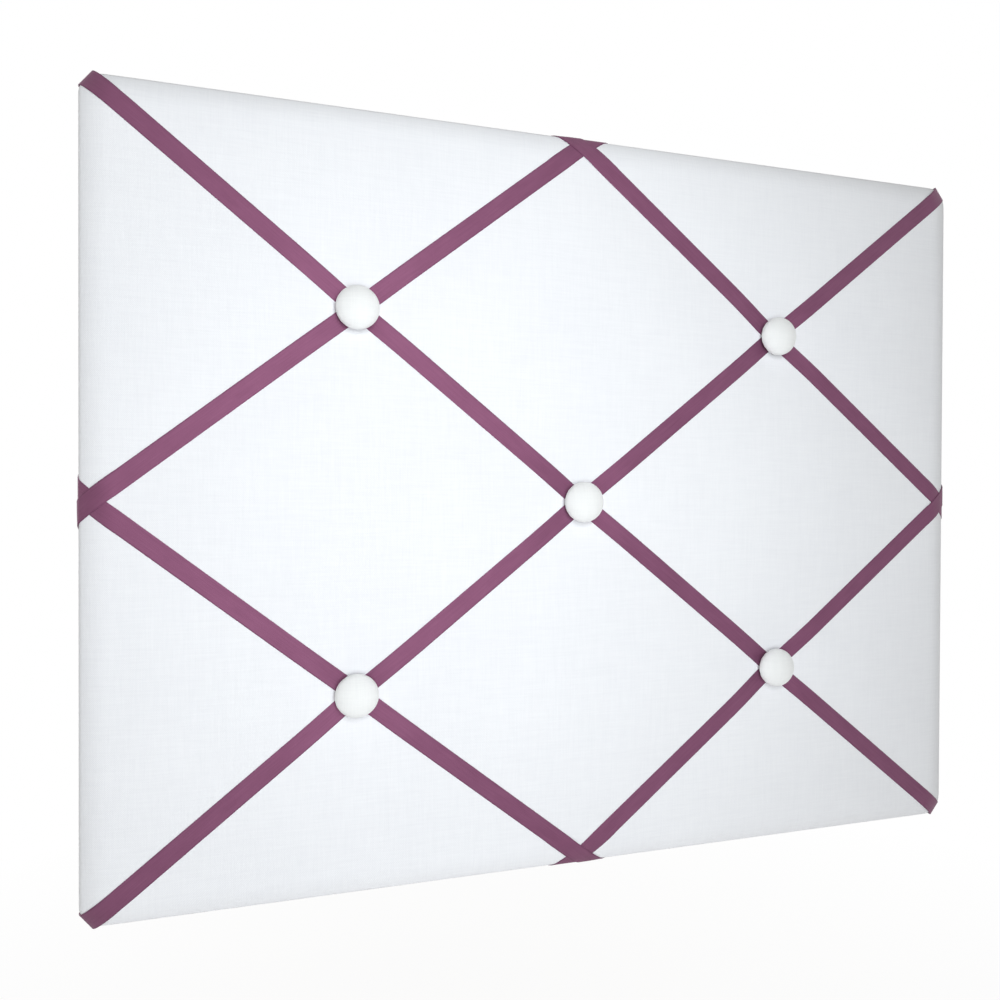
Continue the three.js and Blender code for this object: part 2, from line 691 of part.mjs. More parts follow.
function buttonPlate() {
  const ring = [
    [TIE_HOLE_RADIUS, PLATE_BACK_Y], [PLATE_RADIUS, PLATE_BACK_Y],
    [PLATE_RADIUS, PLATE_FRONT_Y], [TIE_HOLE_RADIUS, PLATE_FRONT_Y],
    [TIE_HOLE_RADIUS, PLATE_BACK_Y],
  ];
  const reach = TIE_HOLE_RADIUS + BRIDGE_WIDTH;
  const halfWidth = BRIDGE_WIDTH / 2;
  const middleY = (PLATE_BACK_Y + PLATE_FRONT_Y) / 2;
  const bridge = block(-reach, reach, PLATE_FRONT_Y - BRIDGE_HEIGHT, middleY, -halfWidth, halfWidth);
  return geometryOf(solidOf(revolve(ring, BUTTON_SIDES)).add(solidOf(bridge)));
}

// A button's tie: up from its knot, over the plate's bridge and down again
function tieGeometry(knotY) {
  const radius = TIE_DIAMETER / 2;
  const halfSpread = BRIDGE_WIDTH / 2 + GAP + radius;
  const bendY = PLATE_FRONT_Y - BRIDGE_HEIGHT;
  const points = [new THREE.Vector3(0, knotY, -halfSpread)];
  for (let step = 0; step <= TIE_SIDES; step += 1) {
    const angle = Math.PI * (step / TIE_SIDES);
    points.push(new THREE.Vector3(0, bendY - halfSpread * Math.sin(angle), -halfSpread * Math.cos(angle)));
  }
  points.push(new THREE.Vector3(0, knotY, halfSpread));
  const loop = planarTube(points, radius, TIE_SIDES, new THREE.Vector3(1, 0, 0));
  const knot = new THREE.SphereGeometry(KNOT_RADIUS, SMALL_SIDES, TIE_SIDES);
  knot.scale(1, KNOT_THICKNESS / (2 * KNOT_RADIUS), 1).translate(0, knotY, 0);
  return geometryOf(solidOf(loop).add(solidOf(knot)));
}

// Hangers, drawn about the ring's bar: the ring reaches towards -X and the strap towards +X
const BAR_RADIUS = RING_WIRE / 2;
const LOOP_BORE = BAR_RADIUS + GAP;
const LOOP_RADIUS = LOOP_BORE + STRAP_THICKNESS;
const BAR_Y = GAP + LOOP_RADIUS;
const STRAP_TOP_Y = GAP + 2 * STRAP_THICKNESS;

function ringGeometry() {
  const outline = new THREE.Path();
  const straight = RING_HALF_WIDTH - RING_BEND;
  outline.moveTo(0, -straight);
  outline.lineTo(0, straight);
  outline.absarc(-RING_BEND, straight, RING_BEND, 0, Math.PI / 2);
  outline.absellipse(-RING_BEND, 0, RING_REACH - RING_BEND, RING_HALF_WIDTH, Math.PI / 2, 1.5 * Math.PI);
  outline.absarc(-RING_BEND, -straight, RING_BEND, 1.5 * Math.PI, 2 * Math.PI);
  const points = outline.getSpacedPoints(RING_STEPS).slice(0, -1);
  const places = points.map((point) => new THREE.Vector3(point.x, 0, point.y));
  return planarTube(places, BAR_RADIUS, RING_SIDES, new THREE.Vector3(0, 1, 0), true);
}

function strapGeometry() {
  const shape = new THREE.Shape();
  shape.moveTo(STRAP_LENGTH, STRAP_TOP_Y);
  shape.lineTo(STRAP_LENGTH, GAP);
  shape.absarc(0, BAR_Y, LOOP_RADIUS, -Math.PI / 2, -1.7 * Math.PI, true);
  shape.lineTo(STRAP_KNEE, STRAP_TOP_Y);
  const bore = new THREE.EllipseCurve(0, BAR_Y, LOOP_BORE, LOOP_BORE).getPoints(LOOP_SIDES);
  shape.holes.push(new THREE.Path(bore.slice(0, -1)));
  const half = STRAP_WIDTH / 2;
  const extent = { depth: STRAP_WIDTH, bevelEnabled: false, curveSegments: LOOP_SIDES / 2 };
  const folded = new THREE.ExtrudeGeometry(shape, extent);
  folded.translate(0, 0, -half);
  const tail = new THREE.Shape();
  tail.moveTo(-2 * LOOP_RADIUS, STRAP_WIDTH);
  tail.lineTo(-2 * LOOP_RADIUS, -STRAP_WIDTH);
  tail.absarc(STRAP_LENGTH - half, 0, half, -Math.PI / 2, Math.PI / 2);
  const outline = slab(tail, 0, BAR_Y + 2 * LOOP_RADIUS);
  const hole = rodAlongY(SCREW_RADIUS + GAP, 0, BAR_Y, SCREW_FROM_BAR, 0);
  return geometryOf(solidOf(folded).intersect(solidOf(outline)).subtract(solidOf(hole)));
}

const SCREW_TIP_Y = BOARD_BACK_Y - SCREW_BITE;

function screwGeometry() {
  const seatY = STRAP_TOP_Y + GAP;
  const topY = seatY + SCREW_HEAD_HEIGHT;
  const crownY = seatY + SCREW_HEAD_HEIGHT * 0.6;
  const profile = [
    [0, SCREW_TIP_Y], [SCREW_RADIUS, SCREW_TIP_Y + SCREW_POINT], [SCREW_RADIUS, seatY],
    [SCREW_HEAD_RADIUS, seatY], [SCREW_HEAD_RADIUS, crownY], [SCREW_HEAD_RADIUS * 0.7, topY], [0, topY],
  ];
  const reach = SCREW_HEAD_RADIUS * 0.6;
  const half = SCREW_SLOT_WIDTH / 2;
  const slotY = topY - SCREW_SLOT_DEPTH;
  const slots = [
    block(-reach, reach, slotY, topY + GAP, -half, half),
    block(-half, half, slotY, topY + GAP, -reach, reach),
  ];
  return cut(revolve(profile, SCREW_SIDES), slots);
}

// Assembly
const memoBoard = new THREE.Group();

function add(name, geometry, material, parent = memoBoard) {
  const mesh = new THREE.Mesh(geometry, material.clone());
  mesh.name = name;
  parent.add(mesh);
  return mesh;
}

const HANGERS = [
  { side: 'left', x: -HANGER_X, turn: Math.PI },
  { side: 'right', x: HANGER_X, turn: 0 },
];
const screwPlaces = HANGERS.map(({ x, turn }) => ({ x: x + SCREW_FROM_BAR * Math.cos(turn), z: HANGER_Z }));

const SIDES = { left: -1, right: 1 };
const LEVELS = { top: 1, bottom: -1 };
const tailStaples = [];
for (const [level, signZ] of Object.entries(LEVELS)) {
  for (const [side, signX] of Object.entries(SIDES)) {
    const at = `${level}_${side}`;
    const edges = shortRibbonEdges(signX, signZ);
    tailStaples.push({ name: `corner_${at}`, ribbon: signX * signZ, ...cornerStaple(signX, signZ) });
    tailStaples.push({ name: `side_${at}`, ribbon: at, ...edgeStaple(edges.side) });
    tailStaples.push({ name: `level_${at}`, ribbon: at, ...edgeStaple(edges.level) });
  }
}

function holesForTails(ribbon) {
  return tailStaples.filter((staple) => staple.ribbon === ribbon).flatMap(stapleHoles);
}

const backStaples = panelStaples();

// Room for the button ties, right through everything between the knots and the buttons
const FRONT_LIMIT_Y = BOARD_FRONT_Y - 2 * PAD_RISE;
const tieHoles = BUTTONS.map(({ x, z }) => (
  rodAlongY(TIE_HOLE_RADIUS, FRONT_LIMIT_Y, 0, x, z, BUTTON_SIDES)
));
const screwHoles = screwPlaces.map(({ x, z }) => (
  rodAlongY(SCREW_RADIUS + GAP, SCREW_TIP_Y - GAP, GAP, x, z)
));

function baseBoard() {
  const shape = roundedRectangle(BOARD_WIDTH / 2, BOARD_HEIGHT / 2, BOARD_CORNER_RADIUS);
  const legs = [...tailStaples, ...backStaples].flatMap(stapleHoles);
  return cut(slab(shape, BOARD_FRONT_Y, BOARD_BACK_Y), [...tieHoles, ...screwHoles, ...legs]);
}

function wadding() {
  const radius = BOARD_CORNER_RADIUS + GAP;
  const shape = roundedRectangle(BOARD_WIDTH / 2 + GAP, BOARD_HEIGHT / 2 + GAP, radius);
  return cut(padBlock(0), [slab(shape, BOARD_FRONT_Y - GAP, 0), ...tieHoles]);
}

function fabricCover() {
  const window = roundedRectangle(OUTER_X - HEM_WIDTH, OUTER_Z - HEM_WIDTH, PANEL_CORNER_RADIUS);
  return cut(padBlock(COVER_OUTER), [padBlock(COVER_INNER), slab(window, BOARD_FRONT_Y, 0), ...tieHoles]);
}

// The panel is one board. Its middle, clear of the hangers, is the plain face that rests against a wall.
function backPanel() {
  const shape = roundedRectangle(PANEL_X, PANEL_Z, PANEL_CORNER_RADIUS);
  const room = block(-PANEL_MIDDLE, PANEL_MIDDLE, PANEL_FRONT_Y - GAP, GAP, -PANEL_Z - GAP, PANEL_Z + GAP);
  const seats = backStaples.flatMap((staple) => [crownSeat(staple), ...stapleHoles(staple)]);
  const ends = cut(slab(shape, PANEL_FRONT_Y, 0), [room, ...screwHoles, ...seats]);
  const middle = cut(block(-PANEL_MIDDLE, PANEL_MIDDLE, PANEL_FRONT_Y, 0, -PANEL_Z, PANEL_Z), seats);
  return geometryOf(solidOf(ends).add(solidOf(middle)));
}

add('base_board', baseBoard(), FIBREBOARD);
add('wadding', wadding(), WADDING);
add('fabric_cover', fabricCover(), COTTON);

const center = { x: 0, z: 0 };
add('ribbon_falling', cut(ribbonSolid(longRibbon(-1, [])), [...tieHoles, ...holesForTails(-1)]), SATIN);
add('ribbon_rising', cut(ribbonSolid(longRibbon(1, [center])), [...tieHoles, ...holesForTails(1)]), SATIN);

// Round the board, each short ribbon passes over one neighbour and under the next
for (const [level, signZ] of Object.entries(LEVELS)) {
  for (const [side, signX] of Object.entries(SIDES)) {
    const strip = ribbonSolid(shortRibbon(signX, signZ, signX !== signZ));
    add(`ribbon_${level}_${side}`, cut(strip, [...tieHoles, ...holesForTails(`${level}_${side}`)]), SATIN);
  }
}

for (const { name, x, z } of BUTTONS) {
  const button = new THREE.Group();
  const seatY = padAt(x, z, RIBBON_OUTER + RIBBON_LIFT).y - 2 * GAP;
  button.position.set(x, seatY, z);
  memoBoard.add(button);
  const knotY = BOARD_BACK_Y + GAP + KNOT_THICKNESS / 2 - seatY;
  add(`button_fabric_${name}`, buttonFabric(), BUTTON_COTTON, button);
  add(`button_shell_${name}`, buttonShell(), TINPLATE, button);
  add(`button_plate_${name}`, buttonPlate(), TINPLATE, button);
  add(`button_tie_${name}`, tieGeometry(knotY), TWINE, button);
}

add('back_panel', backPanel(), HARDBOARD);
for (const staple of tailStaples) {
  const mesh = add(`tail_staple_${staple.name}`, stapleGeometry(staple.legs), WIRE);
  mesh.position.set(staple.x, staple.y, staple.z);
  mesh.rotation.y = staple.turn;
}
for (const staple of backStaples) {
  const mesh = add(`panel_staple_${staple.name}`, stapleGeometry(staple.legs), WIRE);
  mesh.position.set(staple.x, staple.y, staple.z);
  mesh.rotation.y = staple.turn;
}

for (const { side, x, turn } of HANGERS) {
  const hanger = new THREE.Group();
  hanger.position.set(x, 0, HANGER_Z);
  hanger.rotation.y = turn;
  memoBoard.add(hanger);
  add(`hanger_strap_${side}`, strapGeometry(), NICKEL, hanger);
  add(`hanger_ring_${side}`, ringGeometry(), NICKEL, hanger).position.y = BAR_Y;
  add(`hanger_screw_${side}`, screwGeometry(), NICKEL, hanger).position.x = SCREW_FROM_BAR;
}

export default memoBoard;
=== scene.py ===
"""French memo board: a padded board in white fabric, crossed by a satin ribbon lattice under covered buttons.

The fabric cover, wadding, ribbons and button caps are made here as soft goods, in the places of their CAD
solids. Lengths are in millimetres until a mesh is made. X is to the right, Z up, and the front faces -Y.
"""
import math

import bpy
import numpy as np
from mathutils import Matrix, Vector


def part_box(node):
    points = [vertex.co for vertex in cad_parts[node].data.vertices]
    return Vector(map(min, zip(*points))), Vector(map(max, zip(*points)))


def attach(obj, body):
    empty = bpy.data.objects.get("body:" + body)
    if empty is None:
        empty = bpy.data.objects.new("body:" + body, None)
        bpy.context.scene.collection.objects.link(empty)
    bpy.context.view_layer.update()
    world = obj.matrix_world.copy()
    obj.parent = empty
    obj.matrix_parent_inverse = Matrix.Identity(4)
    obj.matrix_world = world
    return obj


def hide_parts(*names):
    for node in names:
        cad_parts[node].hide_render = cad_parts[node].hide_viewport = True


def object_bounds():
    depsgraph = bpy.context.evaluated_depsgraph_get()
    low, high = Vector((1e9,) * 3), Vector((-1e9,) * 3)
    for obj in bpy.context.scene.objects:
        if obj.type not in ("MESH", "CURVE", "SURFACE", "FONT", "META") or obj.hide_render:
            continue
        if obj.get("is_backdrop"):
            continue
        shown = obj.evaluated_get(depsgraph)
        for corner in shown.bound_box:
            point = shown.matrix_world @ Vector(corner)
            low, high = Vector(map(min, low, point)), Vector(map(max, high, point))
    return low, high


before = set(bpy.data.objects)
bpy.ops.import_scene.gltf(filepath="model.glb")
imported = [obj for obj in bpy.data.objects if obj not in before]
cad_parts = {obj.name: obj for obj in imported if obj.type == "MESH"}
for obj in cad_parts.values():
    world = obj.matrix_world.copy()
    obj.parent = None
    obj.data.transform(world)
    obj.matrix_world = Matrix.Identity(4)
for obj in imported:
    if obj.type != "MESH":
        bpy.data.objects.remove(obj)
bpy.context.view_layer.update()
scene = bpy.context.scene
MM = 0.001


def box_mm(node):
    low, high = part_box(node)
    return [c / MM for c in low], [c / MM for c in high]


# Places of the solids
wadding_low, wadding_high = box_mm("wadding")
board_low, board_high = box_mm("base_board")
_, cover_high = box_mm("fabric_cover")
PAD_X, PAD_Z = wadding_high[0], wadding_high[2]
BOARD_X = board_high[0]
BOARD_FRONT_Y, BOARD_BACK_Y = board_low[1], board_high[1]
PAD_RISE = BOARD_FRONT_Y - wadding_low[1]
OUTER_X, OUTER_Z = cover_high[0], cover_high[2]
COVER_OFFSET = OUTER_X - PAD_X

# Padded face: a gentle fall toward each edge, a small round to the side, and an eased rear edge
SHOULDER = 14.0
LEAN = math.radians(28)
EDGE_RADIUS = 2.6
CORNER_RADIUS = 9.0
BACK_EASE = 1.2
EASE_SHARE = 0.3
FALL_STEPS = 5
EDGE_STEPS = 6
FALL_RADIUS = EDGE_RADIUS + (SHOULDER - EDGE_RADIUS) / math.sin(LEAN)
FALL_CENTER = PAD_RISE - FALL_RADIUS
EDGE_CENTER = FALL_CENTER + (FALL_RADIUS - EDGE_RADIUS) * math.cos(LEAN)

# Buttons, each with its middle's x and z and its seat's y, and the hollow round it
BUTTON_NAMES = ["center", "top_left", "top_right", "bottom_left", "bottom_right"]
BUTTON_RADIUS = 11.0
TUFT_DEPTH = 1.6
TUFT_RADIUS = 40.0
BUTTON_PLACES = {}
for button in BUTTON_NAMES:
    low, high = box_mm("button_fabric_" + button)
    BUTTON_PLACES[button] = ((low[0] + high[0]) / 2, (low[2] + high[2]) / 2, high[1])

# Ribbon lattice: two long ribbons from corner to corner, and four short ones between the middles of the edges
RIBBON_WIDTH = 9.5
RIBBON_THICKNESS = 0.32
RIBBON_CLEARANCE = 0.05
CROSSING_CLEARANCE = 0.04
RIBBON_BASE = COVER_OFFSET + RIBBON_CLEARANCE
RIBBON_LIFT = RIBBON_THICKNESS + CROSSING_CLEARANCE
RIBBON_TAIL = 46.0
EDGE_CROSSING = 5.5
CROSSING_X = OUTER_X - EDGE_CROSSING
CROSSING_Z = OUTER_Z - EDGE_CROSSING
LATTICE = [((-PAD_X, -PAD_Z), (PAD_X, PAD_Z)), ((-PAD_X, PAD_Z), (PAD_X, -PAD_Z))]
LATTICE += [((sx * CROSSING_X, 0), (0, sz * CROSSING_Z)) for sx in (-1, 1) for sz in (-1, 1)]


def smooth(t):
    t = min(max(t, 0.0), 1.0)
    return t * t * (3 - 2 * t)


def from_lattice(x, z):
    """Distance from the nearest ribbon's middle."""
    nearest = math.inf
    for (x0, z0), (x1, z1) in LATTICE:
        dx, dz = x1 - x0, z1 - z0
        along = min(max(((x - x0) * dx + (z - z0) * dz) / (dx * dx + dz * dz), 0), 1)
        nearest = min(nearest, math.hypot(x - x0 - along * dx, z - z0 - along * dz))
    return nearest


def fall_point(angle, half, offset):
    """Place out from the middle and height over the board, on the gentle fall toward the edge."""
    radius = FALL_RADIUS + offset
    return half - SHOULDER + radius * math.sin(angle), FALL_CENTER + radius * math.cos(angle)


def edge_point(angle, half, offset):
    """The same on the small round between the fall and the side."""
    radius = EDGE_RADIUS + offset
    return half - EDGE_RADIUS + radius * math.sin(angle), EDGE_CENTER + radius * math.cos(angle)


def share(at, half, offset):
    """Share of the padding's full height at a distance from the middle."""
    over = abs(at) - (half - SHOULDER)
    if over <= 0:
        return 1.0
    if over <= (FALL_RADIUS + offset) * math.sin(LEAN):
        rise = FALL_CENTER + math.sqrt((FALL_RADIUS + offset) ** 2 - over ** 2)
    else:
        out = min(abs(at) - (half - EDGE_RADIUS), EDGE_RADIUS + offset)
        rise = EDGE_CENTER + math.sqrt((EDGE_RADIUS + offset) ** 2 - out ** 2)
    return rise / (PAD_RISE + offset)


def tuft(x, z):
    """Depth of the hollow round the nearest button."""
    deepest = 0.0
    for bx, bz, _ in BUTTON_PLACES.values():
        reach = (math.hypot(x - bx, z - bz) - BUTTON_RADIUS) / (TUFT_RADIUS - BUTTON_RADIUS)
        deepest = max(deepest, TUFT_DEPTH * (1 - min(max(reach, 0.0), 1.0)) ** 2)
    return deepest


def pad_y(x, z, offset):
    rise = (PAD_RISE + offset) * share(x, PAD_X, offset) * share(z, PAD_Z, offset)
    return BOARD_FRONT_Y - rise + tuft(x, z)


def corner_place(x, z, offset):
    """The outline's square corners, drawn in to arcs."""
    radius = CORNER_RADIUS + offset
    start_x, start_z = PAD_X + offset - radius, PAD_Z + offset - radius
    u, v = (abs(x) - start_x) / radius, (abs(z) - start_z) / radius
    if u <= 0 or v <= 0:
        return x, z
    return (
        math.copysign(start_x + radius * u * math.sqrt(1 - v * v / 2), x),
        math.copysign(start_z + radius * v * math.sqrt(1 - u * u / 2), z),
    )


def shoulder_points(half, offset):
    round_turn = math.pi / 2 - LEAN
    points = [fall_point(LEAN * k / FALL_STEPS, half, offset) for k in range(FALL_STEPS + 1)]
    points += [edge_point(LEAN + round_turn * k / EDGE_STEPS, half, offset) for k in range(1, EDGE_STEPS + 1)]
    return points


def net_lines(half, offset, spacing):
    """Grid lines across the face: even over the flat, closer over the shoulder."""
    flat = half - SHOULDER
    count = round(2 * flat / spacing)
    lines = [-flat + 2 * flat * k / count for k in range(count + 1)]
    over = [at for at, _ in shoulder_points(half, offset)[1:]]
    return [-o for o in reversed(over)] + lines + over


def padded_shell(offset, spacing, rings):
    """The padded face as a grid, carried on over its rim through rings of (inset, y).

    Returns the points, the faces, how many points lie on the face, and the last ring's points.
    """
    xs, zs = net_lines(PAD_X, offset, spacing), net_lines(PAD_Z, offset, spacing)
    nx, nz = len(xs), len(zs)
    points = []
    for x in xs:
        for z in zs:
            px, pz = corner_place(x, z, offset)
            points.append((px, pad_y(x, z, offset), pz))
    faces = []
    for i in range(nx - 1):
        for j in range(nz - 1):
            faces.append((i * nz + j, (i + 1) * nz + j, (i + 1) * nz + j + 1, i * nz + j + 1))
    rim = [i * nz for i in range(nx - 1)]
    rim += [(nx - 1) * nz + j for j in range(nz - 1)]
    rim += [i * nz + nz - 1 for i in range(nx - 1, 0, -1)]
    rim += [j for j in range(nz - 1, 0, -1)]
    front = rim
    for inset, y in rings:
        start = len(points)
        for k in rim:
            x, _, z = points[k]
            points.append((x * (1 - inset / OUTER_X), y, z * (1 - inset / OUTER_Z)))
        back = [start + k for k in range(len(rim))]
        for a in range(len(rim)):
            b = (a + 1) % len(rim)
            faces.append((front[b], front[a], back[a], back[b]))
        front = back
    return points, faces, nx * nz, front


def mesh_object(name, points, faces):
    mesh = bpy.data.meshes.new(name)
    mesh.from_pydata([[c * MM for c in p] for p in points], [], faces)
    mesh.validate()
    mesh.polygons.foreach_set("use_smooth", [True] * len(mesh.polygons))
    obj = bpy.data.objects.new(name, mesh)
    scene.collection.objects.link(obj)
    return obj


def thicken(obj, thickness):
    """Gives a sheet its thickness, inward, and leaves it without modifiers."""
    thick = obj.modifiers.new("cloth_thickness", "SOLIDIFY")
    thick.thickness = thickness * MM
    thick.offset = -1
    made = bpy.data.meshes.new_from_object(obj.evaluated_get(bpy.context.evaluated_depsgraph_get()))
    old = obj.data
    obj.modifiers.clear()
    obj.data = made
    bpy.data.meshes.remove(old)


# Materials
def srgb(r, g, b):
    def linear(c):
        c /= 255
        return c / 12.92 if c <= 0.04045 else ((c + 0.055) / 1.055) ** 2.4

    return linear(r), linear(g), linear(b)


def new_material(name, color, roughness, metallic=0.0):
    material = bpy.data.materials.new(name)
    material.use_nodes = True
    tree = material.node_tree
    shader = tree.nodes["Principled BSDF"]
    shader.inputs["Base Color"].default_value = (*color, 1)
    shader.inputs["Roughness"].default_value = roughness
    shader.inputs["Metallic"].default_value = metallic
    return material, tree, shader


def node(tree, kind, inputs=None, **settings):
    made = tree.nodes.new(kind)
    for key, value in settings.items():
        setattr(made, key, value)
    for key, value in (inputs or {}).items():
        if isinstance(value, bpy.types.NodeSocket):
            tree.links.new(value, made.inputs[key])
        else:
            made.inputs[key].default_value = value
    return made


def math_node(tree, operation, a, b=0.0):
    return node(tree, "ShaderNodeMath", {0: a, 1: b}, operation=operation).outputs[0]


def weighted(tree, *parts):
    """Sum of values, each times its weight."""
    total = None
    for value, weight in parts:
        part = math_node(tree, "MULTIPLY", value, weight)
        total = part if total is None else math_node(tree, "ADD", total, part)
    return total


def coordinates(tree, scale, attribute=None):
    """The piece's own coordinates, or those of an attribute, times a scale."""
    if attribute:
        source = node(tree, "ShaderNodeAttribute", attribute_name=attribute).outputs["Vector"]
    else:
        source = node(tree, "ShaderNodeTexCoord").outputs["Object"]
    return node(tree, "ShaderNodeMapping", {"Vector": source, "Scale": scale}).outputs["Vector"]


def axes_of(tree, vector):
    return node(tree, "ShaderNodeSeparateXYZ", {"Vector": vector}).outputs


def waves(tree, value, pitch):
    """A sine along a value: one ridge and one hollow to each pitch."""
    return math_node(tree, "SINE", math_node(tree, "MULTIPLY", value, 2 * math.pi / pitch))


def noise(tree, vector, detail, roughness=0.55):
    inputs = {"Vector": vector, "Scale": 1.0, "Detail": detail, "Roughness": roughness}
    return node(tree, "ShaderNodeTexNoise", inputs).outputs["Fac"]


def ramp(tree, value, stops):
    made = node(tree, "ShaderNodeValToRGB", {"Fac": value})
    elements = made.color_ramp.elements
    while len(elements) < len(stops):
        elements.new(0.5)
    for element, (at, color) in zip(elements, stops):
        element.position = at
        element.color = (*color, 1)
    return made.outputs["Color"]


def bump(tree, shader, height, distance, strength):
    made = node(tree, "ShaderNodeBump", {"Height": height, "Distance": distance, "Strength": strength})
    tree.links.new(made.outputs["Normal"], shader.inputs["Normal"])


# Cotton: lengths in metres, and texture scales in cells per metre
THREAD_PITCH = 0.9 * MM
THREAD_BUMP = 0.07 * MM
SLUBS_ALONG_X = (60, 60, 1400)
SLUBS_ALONG_Z = (1400, 60, 60)
CLOTH_CLOUDS = (14, 14, 14)


def plain_weave(name, low, high, roughness, sheen):
    """Plain-weave cotton: threads across X and Z, uneven in thickness."""
    material, tree, shader = new_material(name, high, roughness)
    axes = axes_of(tree, coordinates(tree, (1, 1, 1)))
    across = waves(tree, axes["X"], THREAD_PITCH)
    along = waves(tree, axes["Z"], THREAD_PITCH)
    weave = math_node(tree, "MULTIPLY", across, along)
    slub_x = noise(tree, coordinates(tree, SLUBS_ALONG_X), detail=2.0)
    slub_z = noise(tree, coordinates(tree, SLUBS_ALONG_Z), detail=2.0)
    slubs = math_node(tree, "MULTIPLY", math_node(tree, "ADD", slub_x, slub_z), 0.5)
    clouds = noise(tree, coordinates(tree, CLOTH_CLOUDS), detail=4.0)
    tone = weighted(tree, (slubs, 0.7), (clouds, 0.3))
    tree.links.new(ramp(tree, tone, [(0.3, low), (0.66, high)]), shader.inputs["Base Color"])
    height = math_node(tree, "ADD", math_node(tree, "MULTIPLY", weave, 0.5), slubs)
    bump(tree, shader, height, THREAD_BUMP, 0.5)
    shader.inputs["Sheen Weight"].default_value = sheen
    shader.inputs["Sheen Roughness"].default_value = 0.6
    shader.inputs["Specular IOR Level"].default_value = 0.25
    return material


# Satin: pitches and selvedge in millimetres across and along the ribbon, and texture scales in cells per
# millimetre
WARP_PITCH = 0.32
WEFT_PITCH = 0.45
SELVEDGE = 0.55
SATIN_BUMP = 0.05 * MM
SATIN_STREAKS = (2.2, 0.05, 1)
SATIN_CLOUDS = (0.12, 0.05, 1)
SATIN_DEEP, SATIN_PLUM, SATIN_PALE = srgb(94, 57, 79), srgb(106, 66, 90), srgb(117, 75, 100)


def satin_ribbon(name):
    """Satin: fine warp lines along the ribbon, a soft sheen, and a darker selvedge along both edges."""
    material, tree, shader = new_material(name, SATIN_PLUM, 0.53)
    axes = axes_of(tree, coordinates(tree, (1, 1, 1), "ribbon_place"))
    warp = waves(tree, axes["X"], WARP_PITCH)
    weft = waves(tree, axes["Y"], WEFT_PITCH)
    streaks = noise(tree, coordinates(tree, SATIN_STREAKS, "ribbon_place"), detail=3.0)
    clouds = noise(tree, coordinates(tree, SATIN_CLOUDS, "ribbon_place"), detail=3.0)
    tone = weighted(tree, (streaks, 0.55), (clouds, 0.45))
    color = ramp(tree, tone, [(0.3, SATIN_DEEP), (0.5, SATIN_PLUM), (0.72, SATIN_PALE)])
    from_middle = math_node(tree, "ABSOLUTE", axes["X"])
    edge = math_node(tree, "GREATER_THAN", from_middle, RIBBON_WIDTH / 2 - SELVEDGE)
    dark = ramp(tree, edge, [(0.0, (1, 1, 1)), (1.0, (0.78, 0.74, 0.78))])
    inputs = {"Fac": 1.0, "Color1": color, "Color2": dark}
    mixed = node(tree, "ShaderNodeMixRGB", inputs, blend_type="MULTIPLY")
    tree.links.new(mixed.outputs[0], shader.inputs["Base Color"])
    bump(tree, shader, weighted(tree, (warp, 0.35), (weft, 0.12), (streaks, 0.9)), SATIN_BUMP, 0.5)
    shader.inputs["Sheen Weight"].default_value = 0.05
    shader.inputs["Sheen Roughness"].default_value = 0.35
    shader.inputs["Sheen Tint"].default_value = (0.9, 0.72, 0.86, 1)
    shader.inputs["Specular IOR Level"].default_value = 1.0
    shader.inputs["Specular Tint"].default_value = (0.98, 0.38, 0.66, 1)
    return material


def fibre_wadding(name):
    material, tree, shader = new_material(name, srgb(244, 243, 238), 1.0)
    fluff = noise(tree, coordinates(tree, (220, 220, 220)), detail=6.0, roughness=0.7)
    color = ramp(tree, fluff, [(0.3, srgb(226, 224, 216)), (0.7, srgb(248, 247, 243))])
    tree.links.new(color, shader.inputs["Base Color"])
    bump(tree, shader, fluff, 1.0 * MM, 0.7)
    return material


def pressed_board(name, dark, mid, light, roughness, grain):
    """Fibreboard or hardboard: pressed fibres, mottled in tone."""
    material, tree, shader = new_material(name, mid, roughness)
    fine = noise(tree, coordinates(tree, (grain, grain, grain)), detail=6.0, roughness=0.7)
    strands = noise(tree, coordinates(tree, (grain * 0.2, grain, grain * 0.9)), detail=4.0, roughness=0.6)
    mottle = noise(tree, coordinates(tree, (9, 9, 9)), detail=5.0, roughness=0.6)
    tone = weighted(tree, (fine, 0.4), (strands, 0.3), (mottle, 0.3))
    color = ramp(tree, tone, [(0.34, dark), (0.5, mid), (0.66, light)])
    tree.links.new(color, shader.inputs["Base Color"])
    bump(tree, shader, fine, 0.15 * MM, 0.5)
    return material


def metal(name, color, roughness, wear):
    """Metal with fine scuffs, which vary its roughness and darken it by the wear."""
    material, tree, shader = new_material(name, color, roughness, 1.0)
    scuffs = noise(tree, coordinates(tree, (500, 500, 500)), detail=5.0, roughness=0.6)
    rough = ramp(tree, scuffs, [(0.35, (roughness * 0.75,) * 3), (0.7, (roughness * 1.35,) * 3)])
    tree.links.new(rough, shader.inputs["Roughness"])
    darker = tuple(c * (1 - wear) for c in color)
    tree.links.new(ramp(tree, scuffs, [(0.3, darker), (0.55, color)]), shader.inputs["Base Color"])
    bump(tree, shader, scuffs, 0.03 * MM, 0.4)
    return material


def twine(name):
    material, tree, shader = new_material(name, srgb(217, 207, 184), 0.9)
    inputs = {"Vector": coordinates(tree, (900, 700, 900)), "Scale": 1.0, "Distortion": 1.0}
    twist = node(tree, "ShaderNodeTexWave", inputs).outputs["Fac"]
    color = ramp(tree, twist, [(0.2, srgb(190, 178, 150)), (0.8, srgb(226, 217, 196))])
    tree.links.new(color, shader.inputs["Base Color"])
    bump(tree, shader, twist, 0.2 * MM, 0.6)
    return material


